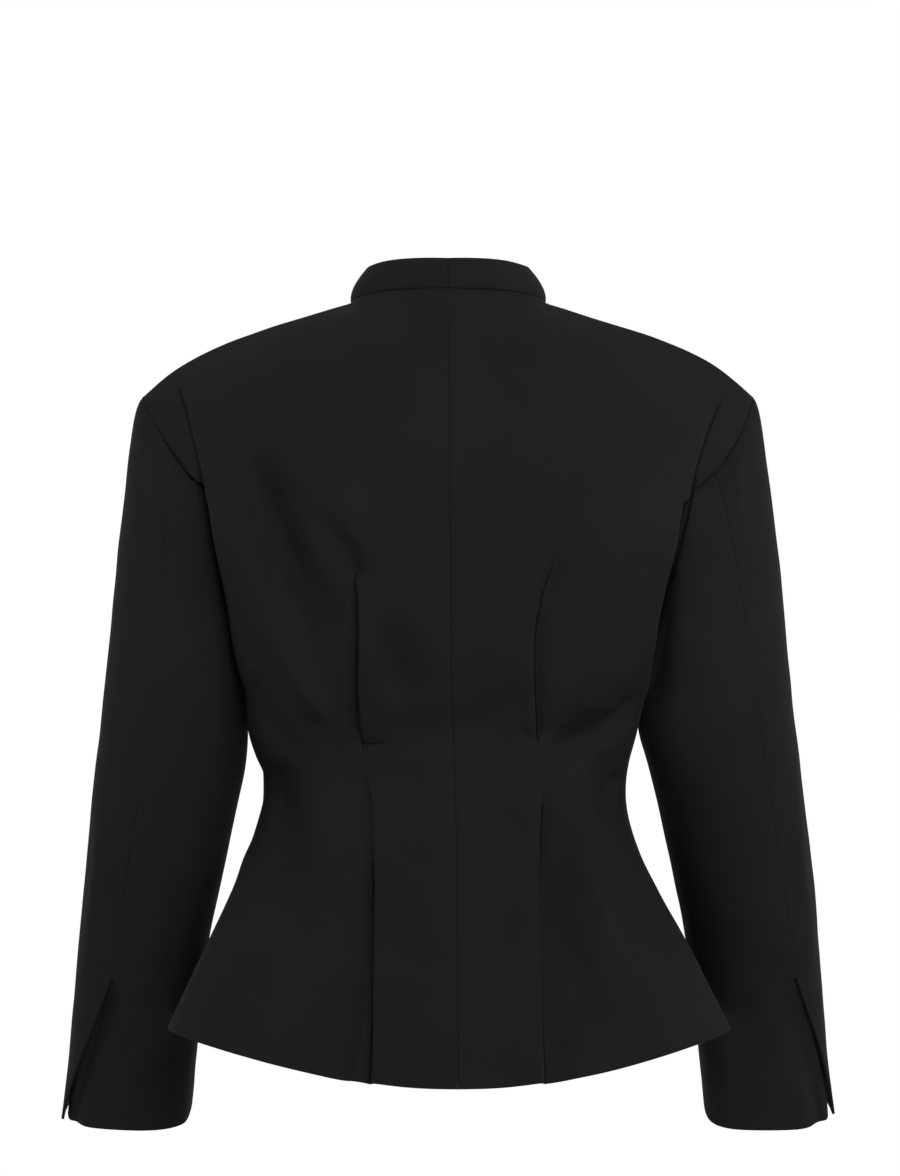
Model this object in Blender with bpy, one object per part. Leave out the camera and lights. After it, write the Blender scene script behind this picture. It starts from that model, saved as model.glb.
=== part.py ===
"""A fitted stand-collar blazer in the form it has when worn, hollow and open at neck, hem and cuffs.

Metres, +Z up. The back of the garment faces -Y and +X is the wearer's right.
The origin lies midway between the two side neck points.
"""

import math

import bmesh
import bpy
import numpy as np
from mathutils import Vector

# Cloth wall and the space left at each seam
WALL = 0.0020
SEAM_GAP = 0.0003
LAP_CLEARANCE = 0.0012
MITRE_LIMIT = 1.7
CORNER_LIMIT = 0.35
WELD = 0.00001

# Neck and shoulder
NECK_HALF_WIDTH = 0.0735
NECK_SIDE_Y = -0.005
NECK_BACK_Y = -0.062
NECK_FRONT_Y = 0.058
NECK_BACK_Z = 0.0070
NECK_FRONT_Z = -0.055
NECK_SQUARENESS = 2.3
NECK_DIP_POWER = 1.3
SHOULDER_HALF_WIDTH = 0.2310
SHOULDER_TIP_Y = 0.005
SHOULDER_SLOPE_DROP = 0.0460
SHOULDER_ROUND_DROP = 0.0245
SHOULDER_ROUND_POWER = 4.4

# Stand collar
COLLAR_BACK_HEIGHT = 0.0225
COLLAR_SIDE_HEIGHT = 0.0240
COLLAR_FRONT_HEIGHT = 0.0230
COLLAR_SIDE_LEAN = 0.0125
COLLAR_BACK_LEAN = 0.0060
COLLAR_FRONT_LEAN = 0.0080
COLLAR_LEAN_POWER = 1.8
COLLAR_END_HEIGHTS = (0.55, 0.88)
COLLAR_PLACES = (0.0, 0.5, 1.0)
COLLAR_ROWS = 3

# Body sections, from the hem up to the shoulder blades
BODY_COLUMNS = (
    "z", "half_width", "side_y", "back_y", "front_y",
    "back_square", "front_square", "seam_y", "centre_x", "shift_x",
)
BODY_SECTIONS = (
    (-0.538, 0.2080, -0.045, -0.160, 0.142, 2.20, 1.95, -0.006, 0.0072, 0.0005),
    (-0.507, 0.1930, -0.042, -0.150, 0.134, 2.20, 1.95, -0.004, 0.0070, 0.0000),
    (-0.472, 0.1755, -0.036, -0.136, 0.124, 2.20, 1.95, -0.002, 0.0066, -0.0005),
    (-0.435, 0.1565, -0.028, -0.121, 0.112, 2.25, 1.95, 0.000, 0.0062, -0.0020),
    (-0.394, 0.1400, -0.020, -0.106, 0.099, 2.30, 2.00, 0.000, 0.0058, -0.0035),
    (-0.360, 0.1353, -0.018, -0.0965, 0.093, 2.35, 2.00, 0.001, 0.0052, -0.0045),
    (-0.341, 0.1370, -0.024, -0.0925, 0.095, 2.40, 2.00, 0.001, 0.0046, -0.0040),
    (-0.322, 0.1430, -0.032, -0.0940, 0.101, 2.45, 2.00, 0.002, 0.0036, -0.0030),
    (-0.300, 0.1485, -0.038, -0.1025, 0.109, 2.50, 2.00, 0.003, 0.0026, -0.0010),
    (-0.267, 0.1540, -0.043, -0.1125, 0.117, 2.60, 2.00, 0.004, 0.0020, -0.0025),
    (-0.235, 0.1588, -0.048, -0.1170, 0.121, 2.70, 2.05, 0.005, 0.0018, -0.0027),
    (-0.182, 0.1663, -0.056, -0.1190, 0.114, 2.80, 2.25, 0.005, 0.0015, -0.0022),
    (-0.145, 0.1760, -0.060, -0.1170, 0.105, 2.80, 2.50, 0.005, 0.0012, -0.0025),
)
UNDERARM_Z = -0.235
WAIST_Z = -0.345
HEM_BACK_DROP = 0.0315
HEM_FRONT_DROP = 0.008
HEM_DROP_POWER = 1.35
ROW_STEP = 0.020
RING_SAMPLES = 240

# Armhole
ARMHOLE_ROWS = 3
ARMHOLE_BACK_REACH = 0.062
ARMHOLE_FRONT_REACH = 0.050
ARMHOLE_SAG = {-1: 0.0040, 1: 0.0175}
ARMHOLE_SAG_POWER = 0.6
ARMHOLE_SAG_SPREAD = 6.0
YOKE_ROWS = 7
YOKE_BACK_FULLNESS = (1.65, 2.05, 1.70)
YOKE_FRONT_FULLNESS = (1.40, 1.85, 1.65)
YOKE_SPREAD_POWER = 0.92
YOKE_SMOOTHING = 8

# Columns of each half panel: centre to tuck, the tuck's step, tuck to side
CENTRE_COLUMNS = 4
SIDE_COLUMNS = 7
NECK_COLUMNS = 5

# Waist tucks and the pressed pleats below them; each edge lies on top on the centre side
TUCK_COLUMNS = ("panel", "side", "upper_x", "lower_x", "top_z", "upper_lift", "lower_lift")
TUCKS = (
    ("back", -1, 0.0650, 0.0530, -0.205, 0.0042, 0.0052),
    ("back", 1, 0.0640, 0.0670, -0.200, 0.0042, 0.0056),
    ("front", -1, 0.0620, 0.0600, -0.250, 0.0030, 0.0040),
    ("front", 1, 0.0620, 0.0600, -0.250, 0.0030, 0.0040),
)
TUCK_STEP = 0.0035
OPEN_STEP = 0.0120
TUCK_FADE = 0.035
TUCK_WAIST_FADE = 0.018
TUCK_SHIFT_FROM = -0.325
TUCK_SHIFT_TO = -0.375
TUCK_WAIST_Z = -0.334
TUCK_PROFILE = {-1: 0.30, 0: 0.55, 1: -0.55, 2: -0.22}

# The fold of back cloth that stands over each armhole seam
WING_LIFT = 0.0045
WING_SHARES = (1.0, 0.45)
WING_TOP_Z = -0.075
WING_BOTTOM_Z = -0.225

# Largest soft folds of the back, as lines seen from behind; a negative depth is a ridge
DRAPE_COLUMNS = ("side", "x_from", "z_from", "x_to", "z_to", "width", "depth")
DRAPES = (
    (-1, 0.150, -0.095, 0.088, -0.225, 0.016, 0.0032),
    (1, 0.085, -0.331, 0.140, -0.296, 0.013, 0.0050),
    (-1, 0.128, -0.365, 0.115, -0.450, 0.014, 0.0035),
    (1, 0.098, -0.370, 0.122, -0.480, 0.015, -0.0030),
)

# Front lap: the wearer's right half lies over the left
LAP_OVER = (0.009, 0.018)
LAP_UNDER = (0.010,)
LAP_SHARES = (1.0, 1.0, 0.55, 0.12)

# Sleeve sections below the cap
SLEEVE_COLUMNS = ("z", "x", "y", "half_width", "half_depth", "slope", "lean", "square")
SLEEVE_SECTIONS = (
    (-0.300, 0.2034, -0.004, 0.0550, 0.0600, 0.00, 0.05, 2.0),
    (-0.330, 0.2056, -0.001, 0.0563, 0.0590, 0.00, 0.06, 2.0),
    (-0.360, 0.2100, 0.004, 0.0555, 0.0580, 0.00, 0.08, 2.0),
    (-0.420, 0.2200, 0.017, 0.0527, 0.0550, 0.00, 0.14, 2.0),
    (-0.475, 0.2293, 0.032, 0.0498, 0.0520, -0.02, 0.20, 2.1),
    (-0.540, 0.2375, 0.052, 0.0490, 0.0490, -0.02, 0.22, 2.5),
    (-0.614, 0.2455, 0.073, 0.0485, 0.0460, 0.01, 0.22, 3.2),
)
CAP_SHARES = (0.0, 0.04, 0.12, 0.24, 0.40, 0.60, 0.80, 1.0)
CAP_ROLL = 0.0050
CAP_ROLL_OUT = 0.7
CAP_ROLL_TURN = 0.5
SLEEVE_ROWS = 8

# Cuff vent in the elbow seam
VENT_TOP_Z = -0.494
VENT_CORNER = 0.004
VENT_ROWS = 5
ELBOW_COLUMN = 5
ELBOW_PLACES = (6.5, 6.8)
ARM_TURN = {-1: -0.55, 1: 0.10}
ARM_DRAWN_IN = {-1: 0.0, 1: 0.0008}
ARM_STRAIGHT_Z = -0.475
FOREARM_COLUMN = 17
FLAP_SWING = 2.7
FLAP_SWING_POWER = 1.3
FLAP_FLARE = 0.0018
FLAP_FLARE_SHARES = (1.0, 0.6, 0.25)
UNDERLAP_COLUMNS = 3
UNDERLAP_COVER = 0.75

# Cloth colours
CLOTH_COLOUR = (0.014, 0.014, 0.014, 1.0)
CLOTH_ROUGHNESS = 0.85


def rows_of(columns, rows):
    return [dict(zip(columns, row)) for row in rows]


def ease(value):
    value = min(1.0, max(0.0, value))
    return value * value * (3.0 - 2.0 * value)


def smooth_column(sections, column, z):
    """One column of a section table at height z, on a smooth curve through the table's rows."""
    heights = np.array([row["z"] for row in sections])
    values = np.array([row[column] for row in sections])
    order = np.argsort(heights)
    heights, values = heights[order], values[order]
    slopes = np.gradient(values, heights)
    i = int(np.clip(np.searchsorted(heights, z) - 1, 0, len(heights) - 2))
    span = heights[i + 1] - heights[i]
    t = (z - heights[i]) / span
    start = (1 + 2 * t) * (1 - t) ** 2 * values[i] + t * (1 - t) ** 2 * span * slopes[i]
    end = t * t * (3 - 2 * t) * values[i + 1] + t * t * (t - 1) * span * slopes[i + 1]
    return float(start + end)


def section_at(sections, columns, z):
    return {column: smooth_column(sections, column, z) for column in columns if column != "z"} | {"z": z}


def arc_of(points):
    steps = np.linalg.norm(np.diff(points, axis=0), axis=1)
    return np.concatenate([[0.0], np.cumsum(steps)])


def along(points, arcs):
    """Points of a polyline at the given lengths; a length below zero lies on its mirror image."""
    run = arc_of(points)
    arcs = np.atleast_1d(np.asarray(arcs, float))
    found = np.stack([np.interp(np.abs(arcs), run, points[:, axis]) for axis in range(3)], axis=1)
    found[arcs < 0, 0] *= -1
    return found


BODY = rows_of(BODY_COLUMNS, BODY_SECTIONS)
SLEEVE = rows_of(SLEEVE_COLUMNS, SLEEVE_SECTIONS)
BLADE_Z = BODY_SECTIONS[-1][0]
HEM_Z = BODY_SECTIONS[0][0]
SLEEVE_ROUND = 2 * (ARMHOLE_ROWS + YOKE_ROWS)


def body_heights():
    """Row heights at the side, from the hem to the shoulder blades."""
    marks = [row["z"] for row in BODY if row["z"] <= UNDERARM_Z]
    heights = [marks[0]]
    for low, high in zip(marks, marks[1:]):
        count = max(1, round((high - low) / ROW_STEP))
        heights += list(np.linspace(low, high, count + 1)[1:])
    heights += list(np.linspace(UNDERARM_Z, BLADE_Z, ARMHOLE_ROWS + 1)[1:])
    return heights


def half_ring(z, side):
    """Half of the body's section, from centre back round the side to centre front."""
    s = section_at(BODY, BODY_COLUMNS, z)
    t = np.linspace(0.0, math.pi / 2, RING_SAMPLES)
    back_power, front_power = 2.0 / s["back_square"], 2.0 / s["front_square"]
    back_x = s["half_width"] * np.sin(t) ** back_power
    back_y = s["side_y"] + (s["back_y"] - s["side_y"]) * np.abs(np.cos(t)) ** back_power
    front_x = s["half_width"] * np.abs(np.cos(t)) ** front_power
    front_y = s["side_y"] + (s["front_y"] - s["side_y"]) * np.sin(t) ** front_power
    x = np.concatenate([back_x, front_x[1:]])
    y = np.concatenate([back_y, front_y[1:]])
    behind = np.concatenate([np.ones(RING_SAMPLES), np.zeros(RING_SAMPLES - 1)])
    middle = 1.0 - (x / s["half_width"]) ** 2
    low = max(0.0, (WAIST_Z - z) / (WAIST_Z - HEM_Z)) ** 2
    drop = np.where(behind > 0, HEM_BACK_DROP, HEM_FRONT_DROP) * low * middle ** HEM_DROP_POWER
    x = side * x + s["centre_x"] * middle * behind + s["shift_x"] * (1.0 - middle)
    return np.stack([x, y, z - drop], axis=1), s


def armhole_share(z):
    """How far up from the underarm to the shoulder blades, as a quarter ellipse."""
    up = min(1.0, max(0.0, (z - UNDERARM_Z) / (BLADE_Z - UNDERARM_Z)))
    return math.sqrt(1.0 - (1.0 - up) ** 2)


def tuck_of(panel, side):
    return next(t for t in rows_of(TUCK_COLUMNS, TUCKS) if t["panel"] == panel and t["side"] == side)


def tuck_x(tuck, z):
    share = ease((TUCK_SHIFT_FROM - z) / (TUCK_SHIFT_FROM - TUCK_SHIFT_TO))
    return tuck["upper_x"] + (tuck["lower_x"] - tuck["upper_x"]) * share


def tuck_lift(tuck, z):
    upper = ease((tuck["top_z"] - z) / TUCK_FADE) * ease((z - TUCK_WAIST_Z) / TUCK_WAIST_FADE)
    lower = ease((TUCK_WAIST_Z - z) / TUCK_FADE)
    return tuck["upper_lift"] * upper + tuck["lower_lift"] * lower


def panel_row(panel, side, z, extra=()):
    """One row of a half panel's points, from the centre seam out to the side seam or the armhole."""
    ring, s = half_ring(z, side)
    reach = ARMHOLE_BACK_REACH if panel == "back" else -ARMHOLE_FRONT_REACH
    edge_y = s["seam_y"] - reach * armhole_share(z)
    run = arc_of(ring)
    edge = float(np.interp(edge_y, ring[:, 1], run))
    if panel == "front":
        ring, edge = ring[::-1], run[-1] - edge
        run = arc_of(ring)
    tuck = tuck_of(panel, side)
    widest = int(np.argmax(np.abs(ring[:, 0])))
    tuck_arc = float(np.interp(tuck_x(tuck, z), np.abs(ring[1:widest, 0]), run[1:widest]))
    closed = ease((tuck["top_z"] + TUCK_FADE - z) / TUCK_FADE)
    step = OPEN_STEP + (TUCK_STEP - OPEN_STEP) * closed
    inner = np.linspace(0.0, tuck_arc, CENTRE_COLUMNS + 1)
    outer = np.linspace(tuck_arc + step, edge, SIDE_COLUMNS + 1)
    return along(ring, np.concatenate([[-e for e in reversed(extra)], inner, outer]))


def neckline(panel, side):
    """Half of the neck edge, from the centre to the side neck point."""
    t = np.linspace(0.0, math.pi / 2, RING_SAMPLES)
    power = 2.0 / NECK_SQUARENESS
    middle_y = NECK_BACK_Y if panel == "back" else NECK_FRONT_Y
    middle_z = NECK_BACK_Z if panel == "back" else NECK_FRONT_Z
    x = side * NECK_HALF_WIDTH * np.sin(t) ** power
    far = np.abs(np.cos(t)) ** power
    far[-1] = 0.0
    y = NECK_SIDE_Y + (middle_y - NECK_SIDE_Y) * far
    return np.stack([x, y, middle_z * far ** NECK_DIP_POWER], axis=1)


def shoulder_seam(side):
    """Points of the shoulder seam after the side neck point, out to the shoulder tip."""
    share = np.linspace(0.0, 1.0, SIDE_COLUMNS + 1)[1:]
    x = side * (NECK_HALF_WIDTH + (SHOULDER_HALF_WIDTH - NECK_HALF_WIDTH) * share)
    y = NECK_SIDE_Y + (SHOULDER_TIP_Y - NECK_SIDE_Y) * share
    z = -SHOULDER_SLOPE_DROP * share - SHOULDER_ROUND_DROP * share ** SHOULDER_ROUND_POWER
    return np.stack([x, y, z], axis=1)


def top_row(panel, side, extra=()):
    edge = neckline(panel, side)
    arcs = np.linspace(0.0, arc_of(edge)[-1], NECK_COLUMNS + 1)
    neck = along(edge, np.concatenate([[-e for e in reversed(extra)], arcs]))
    return np.concatenate([neck, shoulder_seam(side)])


def yoke_fullness(panel, columns, extra):
    centre, neck, tip = YOKE_BACK_FULLNESS if panel == "back" else YOKE_FRONT_FULLNESS
    spacing = tuck_of(panel, 1)["upper_x"] / CENTRE_COLUMNS
    places = [reach / spacing for reach in reversed(extra)] + list(range(columns + 1))
    return np.interp(places, [0, NECK_COLUMNS, columns], [centre, neck, tip])


def base_grid(panel, side, extra=()):
    """A half panel's points before its folds: rows from hem to neck, columns from centre to side."""
    rows = [panel_row(panel, side, z, extra) for z in body_heights()]
    low, high = rows[-1], top_row(panel, side, extra)
    power = 2.0 / yoke_fullness(panel, CENTRE_COLUMNS + 1 + SIDE_COLUMNS, extra)
    for i in range(1, YOKE_ROWS + 1):
        turn = math.pi / 2 * i / YOKE_ROWS
        rise = math.sin(turn) ** power
        stay = abs(math.cos(turn)) ** power if i < YOKE_ROWS else 0.0 * power
        x = low[:, 0] + (high[:, 0] - low[:, 0]) * rise ** YOKE_SPREAD_POWER
        y = high[:, 1] + (low[:, 1] - high[:, 1]) * stay
        z = low[:, 2] + (high[:, 2] - low[:, 2]) * rise
        if panel == "back" and i < YOKE_ROWS:
            sag = ARMHOLE_SAG[side] * math.sin(2.0 * turn) * math.cos(turn) ** ARMHOLE_SAG_POWER
            z = z - sag * np.linspace(0.0, 1.0, len(z)) ** ARMHOLE_SAG_SPREAD
        rows.append(np.stack([x, y, z], axis=1))
    grid, first = np.array(rows), len(rows) - YOKE_ROWS - 1
    start = 1 if panel == "back" else len(extra) + 2
    for _ in range(YOKE_SMOOTHING):
        inner = grid[first:-1, start:-1]
        above_below = grid[first - 1 : -2, start:-1] + grid[first + 1 :, start:-1]
        beside = grid[first:-1, start - 1 : -2] + grid[first:-1, start + 1 :]
        grid[first:-1, start:-1] = inner + ((above_below + beside) / 4 - inner) / 2
    return grid


def grid_normals(grid, centre):
    across, up = np.gradient(grid, axis=1), np.gradient(grid, axis=0)
    normal = np.cross(across, up)
    normal /= np.maximum(np.linalg.norm(normal, axis=2, keepdims=True), 1e-12)
    outward = np.sum(normal * (grid - centre), axis=2).mean()
    return normal if outward > 0 else -normal


def drape_depth(side, x, z):
    depth = 0.0
    for d in rows_of(DRAPE_COLUMNS, DRAPES):
        if d["side"] != side:
            continue
        start = np.array([d["x_from"], d["z_from"]])
        run = np.array([d["x_to"], d["z_to"]]) - start
        share = np.clip(np.dot(np.array([abs(x), z]) - start, run) / np.dot(run, run), 0.0, 1.0)
        away = np.linalg.norm(np.array([abs(x), z]) - start - share * run)
        depth += d["depth"] * math.exp(-((away / d["width"]) ** 2))
    return depth


def fold_offset(panel, side, column, columns, point):
    """How far a point of a half panel stands out from the plain form."""
    x, z = point[0], point[2]
    tuck = tuck_of(panel, side)
    offset = tuck_lift(tuck, z) * TUCK_PROFILE.get(column - CENTRE_COLUMNS, 0.0)
    if panel == "back":
        if 0 < column < columns:
            offset -= drape_depth(side, x, z)
        wing = ease((WING_TOP_Z - z) / TUCK_FADE) * ease((z - WING_BOTTOM_Z) / TUCK_FADE)
        inside = columns - 1 - column
        share = WING_SHARES[inside] if 0 <= inside < len(WING_SHARES) else 0.0
        offset += WING_LIFT * wing * share
    elif side > 0:
        index = max(0, column)
        offset += (WALL + LAP_CLEARANCE) * (LAP_SHARES[index] if index < len(LAP_SHARES) else 0.0)
    return offset


def half_panel(panel, side):
    extra = ()
    if panel == "front":
        extra = LAP_OVER if side > 0 else LAP_UNDER
    grid = base_grid(panel, side, extra)
    columns = CENTRE_COLUMNS + 1 + SIDE_COLUMNS
    centre = np.stack([np.zeros(grid.shape[:2]), np.zeros(grid.shape[:2]), grid[:, :, 2]], axis=2)
    normals = grid_normals(grid, centre)
    for i in range(grid.shape[0] - (panel == "back")):
        for j in range(grid.shape[1]):
            column = j - len(extra)
            grid[i, j] += normals[i, j] * fold_offset(panel, side, column, columns, grid[i, j])
    return grid


def collar_grid(side, back, front, extra):
    """Half of the stand collar on the neck edges of the back and front halves."""
    back_edge = back[-1, : NECK_COLUMNS + 1]
    front_edge = front[-1, extra : extra + NECK_COLUMNS + 1][::-1]
    base = np.concatenate([back_edge, front_edge[1:]])
    turn = np.linspace(0.0, 1.0, len(base))
    heights = (COLLAR_BACK_HEIGHT, COLLAR_SIDE_HEIGHT, COLLAR_FRONT_HEIGHT)
    height = np.interp(turn, COLLAR_PLACES, heights)
    for i, share in enumerate(COLLAR_END_HEIGHTS):
        height[-1 - i] *= share
    lean_x = COLLAR_SIDE_LEAN * np.abs(base[:, 0]) / NECK_HALF_WIDTH
    lean_y = np.interp(turn, COLLAR_PLACES, (COLLAR_BACK_LEAN, 0.0, -COLLAR_FRONT_LEAN))
    rows = []
    for i in range(COLLAR_ROWS + 1):
        share = i / COLLAR_ROWS
        leaning = share ** COLLAR_LEAN_POWER
        x = base[:, 0] - side * lean_x * leaning
        y = base[:, 1] + lean_y * leaning
        z = base[:, 2] + height * share
        rows.append(np.stack([x, y, z], axis=1))
    return np.array(rows)


def sleeve_places(columns, z):
    """Where the sleeve's columns lie round the arm, counted in even steps from the underarm.

    The elbow seam lies further out below the sleeve head than where it leaves the armhole.
    """
    share = np.clip((SLEEVE_SECTIONS[0][0] - z) / (SLEEVE_SECTIONS[0][0] - VENT_TOP_Z), 0.0, 1.0)
    elbow = ELBOW_PLACES[0] + (ELBOW_PLACES[1] - ELBOW_PLACES[0]) * share
    marks = (0, ELBOW_COLUMN, SLEEVE_ROUND / 2, FOREARM_COLUMN, SLEEVE_ROUND, SLEEVE_ROUND + ELBOW_COLUMN)
    places = (0, elbow, SLEEVE_ROUND / 2, FOREARM_COLUMN, SLEEVE_ROUND, SLEEVE_ROUND + elbow)
    return np.interp(columns, marks, places)


def sleeve_ring(z, side, places, swell):
    """Points of a sleeve section at the given places round it, moved out by swell."""
    s = section_at(SLEEVE, SLEEVE_COLUMNS, z)
    angle = 2.0 * math.pi * (np.asarray(places, float) + ARM_TURN[side]) / SLEEVE_ROUND
    power = 2.0 / s["square"]
    out = -(s["half_width"] + swell) * np.sign(np.cos(angle)) * np.abs(np.cos(angle)) ** power
    fore = -(s["half_depth"] + swell) * np.sign(np.sin(angle)) * np.abs(np.sin(angle)) ** power
    high = (z - ARM_STRAIGHT_Z) / (SLEEVE_SECTIONS[0][0] - ARM_STRAIGHT_Z)
    x = side * (s["x"] + out - ARM_DRAWN_IN[side] * ease(high))
    y = s["y"] + fore
    return np.stack([x, y, z + s["slope"] * out + s["lean"] * fore], axis=1)


def sleeve_heights():
    top, cuff = SLEEVE_SECTIONS[0][0], SLEEVE_SECTIONS[-1][0]
    upper = np.linspace(top, VENT_TOP_Z, SLEEVE_ROWS + 1)
    lower = np.linspace(VENT_TOP_Z - VENT_CORNER, cuff, VENT_ROWS + 1)
    return list(upper), list(lower)


def cap_rows(side, armhole, columns):
    """Rows of the sleeve head, from the armhole seam to the first full section."""
    index = np.asarray(columns) % SLEEVE_ROUND
    start = armhole[index]
    zero = np.zeros(len(index))
    top = SLEEVE_SECTIONS[0][0]
    end = sleeve_ring(top, side, sleeve_places(columns, top), zero)
    angle = 2.0 * math.pi * index / SLEEVE_ROUND
    out = CAP_ROLL_OUT - CAP_ROLL_TURN * np.cos(angle)
    way = np.stack([side * out, -CAP_ROLL_TURN * np.sin(angle), zero], axis=1)
    way /= np.linalg.norm(way, axis=1, keepdims=True)
    rows = []
    for share in CAP_SHARES[:-1]:
        roll = CAP_ROLL * math.sin(math.pi * math.sqrt(share))
        rows.append(start + (end - start) * share + way * roll)
    return rows


def top_sleeve(side, armhole):
    columns = np.arange(ELBOW_COLUMN, FOREARM_COLUMN + 1)
    upper, lower = sleeve_heights()
    rows = cap_rows(side, armhole, columns)
    rows += [sleeve_ring(z, side, sleeve_places(columns, z), np.zeros(len(columns))) for z in upper]
    flare = np.zeros(len(columns))
    flare[: len(FLAP_FLARE_SHARES)] = FLAP_FLARE_SHARES
    for z in lower:
        open_share = (VENT_TOP_Z - z) / (VENT_TOP_Z - lower[-1])
        swing = FLAP_SWING * open_share ** FLAP_SWING_POWER
        places = sleeve_places(columns, z)
        swung = places + swing * (FOREARM_COLUMN - places) / (FOREARM_COLUMN - places[0])
        rows.append(sleeve_ring(z, side, swung, flare * FLAP_FLARE * open_share))
    return np.array(rows)


def under_sleeve(side, armhole):
    """The under sleeve's grid, and the grid of the vent's underlap that grows from its elbow edge."""
    columns = np.arange(FOREARM_COLUMN, SLEEVE_ROUND + ELBOW_COLUMN + 1)
    upper, lower = sleeve_heights()
    rows = cap_rows(side, armhole, columns)
    rows += [sleeve_ring(z, side, sleeve_places(columns, z), np.zeros(len(columns))) for z in upper]
    sink = np.zeros(len(columns))
    sink[-1] = -(WALL + LAP_CLEARANCE)
    underlap = []
    for z in lower:
        open_share = (VENT_TOP_Z - z) / (VENT_TOP_Z - lower[-1])
        places = sleeve_places(columns, z)
        rows.append(sleeve_ring(z, side, places, sink))
        reach = places[-1] + FLAP_SWING * open_share ** FLAP_SWING_POWER + UNDERLAP_COVER
        lap = np.linspace(places[-1], reach, UNDERLAP_COLUMNS + 1)
        underlap.append(sleeve_ring(z, side, lap, np.full(len(lap), sink[-1])))
    return np.array(rows), np.array(underlap)


def add_grid(skin, tag, number, grid):
    verts = [[skin.verts.new(point) for point in row] for row in grid]
    for low, high in zip(verts, verts[1:]):
        for j in range(len(low) - 1):
            face = skin.faces.new((low[j], low[j + 1], high[j + 1], high[j]))
            face[tag] = number


def garment_skin():
    """One welded surface of the whole garment, with every face marked by its panel."""
    skin = bmesh.new()
    tag = skin.faces.layers.int.new("panel")
    names = []

    def panel(name, *grids):
        names.append(name)
        for grid in grids:
            add_grid(skin, tag, len(names) - 1, grid)

    underarm = body_heights().index(UNDERARM_Z)
    for side, hand in ((-1, "left"), (1, "right")):
        back, front = half_panel("back", side), half_panel("front", side)
        extra = len(LAP_OVER if side > 0 else LAP_UNDER)
        armhole = np.concatenate([back[underarm:, -1], front[underarm + 1 : -1, -1][::-1]])
        panel("back_" + hand, back)
        panel("front_" + hand, front)
        panel("collar_" + hand, collar_grid(side, back, front, extra))
        panel("sleeve_top_" + hand, top_sleeve(side, armhole))
        panel("sleeve_under_" + hand, *under_sleeve(side, armhole))
    bmesh.ops.remove_doubles(skin, verts=skin.verts[:], dist=WELD)
    bmesh.ops.recalc_face_normals(skin, faces=skin.faces[:])
    rearmost = min(skin.faces, key=lambda face: face.calc_center_median().y)
    if rearmost.normal.y > 0:
        bmesh.ops.reverse_faces(skin, faces=skin.faces[:])
    skin.normal_update()
    skin.verts.index_update()
    return skin, tag, names


def seam_shift(vert, tag, number):
    """The small move that draws a panel's edge back from its seams."""
    ways = []
    for edge in vert.link_edges:
        mine = [face for face in edge.link_faces if face[tag] == number]
        if len(mine) != 1 or len(edge.link_faces) != 2:
            continue
        line = (edge.verts[1].co - edge.verts[0].co).normalized()
        way = mine[0].normal.cross(line)
        if way.dot(mine[0].calc_center_median() - edge.verts[0].co) < 0:
            way = -way
        ways.append(way.normalized())
    if not ways:
        return Vector((0.0, 0.0, 0.0))
    if len(ways) == 1:
        return ways[0] * (SEAM_GAP / 2)
    total = ways[0] + ways[1]
    return total * (SEAM_GAP / 2) / max(CORNER_LIMIT, 1.0 + ways[0].dot(ways[1]))


def panel_solid(skin, tag, number, name):
    """A panel of the skin as a closed wall."""
    solid = bmesh.new()
    faces = [face for face in skin.faces if face[tag] == number]
    outer, inner = {}, {}
    for vert in {vert for face in faces for vert in face.verts}:
        place = vert.co + seam_shift(vert, tag, number)
        depth = WALL * min(MITRE_LIMIT, vert.calc_shell_factor())
        outer[vert] = solid.verts.new(place)
        inner[vert] = solid.verts.new(place - vert.normal * depth)
    for face in faces:
        solid.faces.new([outer[vert] for vert in face.verts])
        solid.faces.new([inner[vert] for vert in reversed(face.verts)])
        for loop in face.loops:
            mine = [near for near in loop.edge.link_faces if near[tag] == number]
            if len(mine) == 1:
                a, b = loop.vert, loop.link_loop_next.vert
                if a.index < b.index:
                    solid.faces.new((outer[b], outer[a], inner[b]))
                    solid.faces.new((outer[a], inner[a], inner[b]))
                else:
                    solid.faces.new((outer[b], outer[a], inner[a]))
                    solid.faces.new((outer[b], inner[a], inner[b]))
    bmesh.ops.recalc_face_normals(solid, faces=solid.faces[:])
    mesh = bpy.data.meshes.new(name)
    solid.to_mesh(mesh)
    solid.free()
    return bpy.data.objects.new(name, mesh)


def cloth_material(name):
    material = bpy.data.materials.new(name + "_cloth")
    material.use_nodes = True
    shader = material.node_tree.nodes["Principled BSDF"]
    shader.inputs["Base Color"].default_value = CLOTH_COLOUR
    shader.inputs["Roughness"].default_value = CLOTH_ROUGHNESS
    return material


for old in list(bpy.data.objects):
    bpy.data.objects.remove(old, do_unlink=True)

garment, panel_tag, panel_names = garment_skin()
for index, panel_name in enumerate(panel_names):
    piece = panel_solid(garment, panel_tag, index, panel_name)
    piece.data.materials.append(cloth_material(panel_name))
    bpy.context.scene.collection.objects.link(piece)
garment.free()
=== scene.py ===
import math

import bmesh
import bpy
import numpy as np
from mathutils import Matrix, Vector, kdtree, noise


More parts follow.
